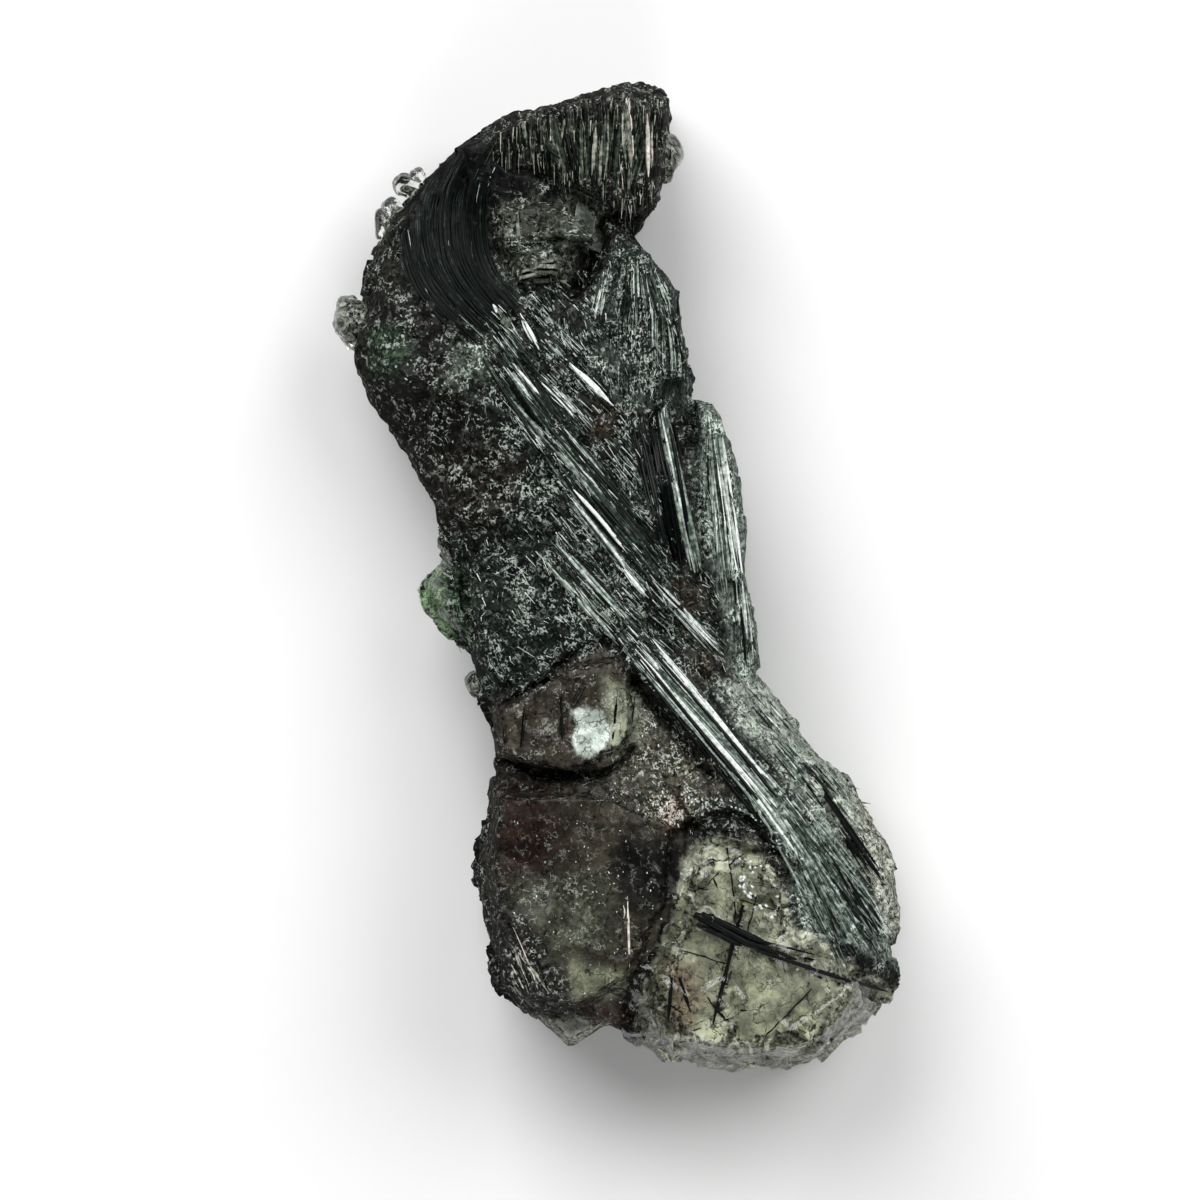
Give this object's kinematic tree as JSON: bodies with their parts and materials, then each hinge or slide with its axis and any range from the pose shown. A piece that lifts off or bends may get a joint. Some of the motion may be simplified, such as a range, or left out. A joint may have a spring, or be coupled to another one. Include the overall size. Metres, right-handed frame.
{
  "type": "apatite crystal",
  "caption": "Elongated dark green and smoky crystal specimen with flat facets, needle bundles and a thick clear end, lying flat.",
  "frame": {"origin": "under the middle of the crystal's box, on the surface that it lies on", "axes": "+Y along the crystal towards its narrow end, +X to the right as its front is seen, +Z out of the front"},
  "size_m": [0.023, 0.0402, 0.0106],
  "materials": {
    "dark_crystal": "satin to glossy, near black green with smoky brown faces",
    "needles": "glossy needles with pale highlights",
    "clear_crystal": "clear, smoky or pale green, glossy where broken"
  },
  "bodies": {
    "root": {"apatite_crystal": "dark_crystal"}
  },
  "joints": []
}
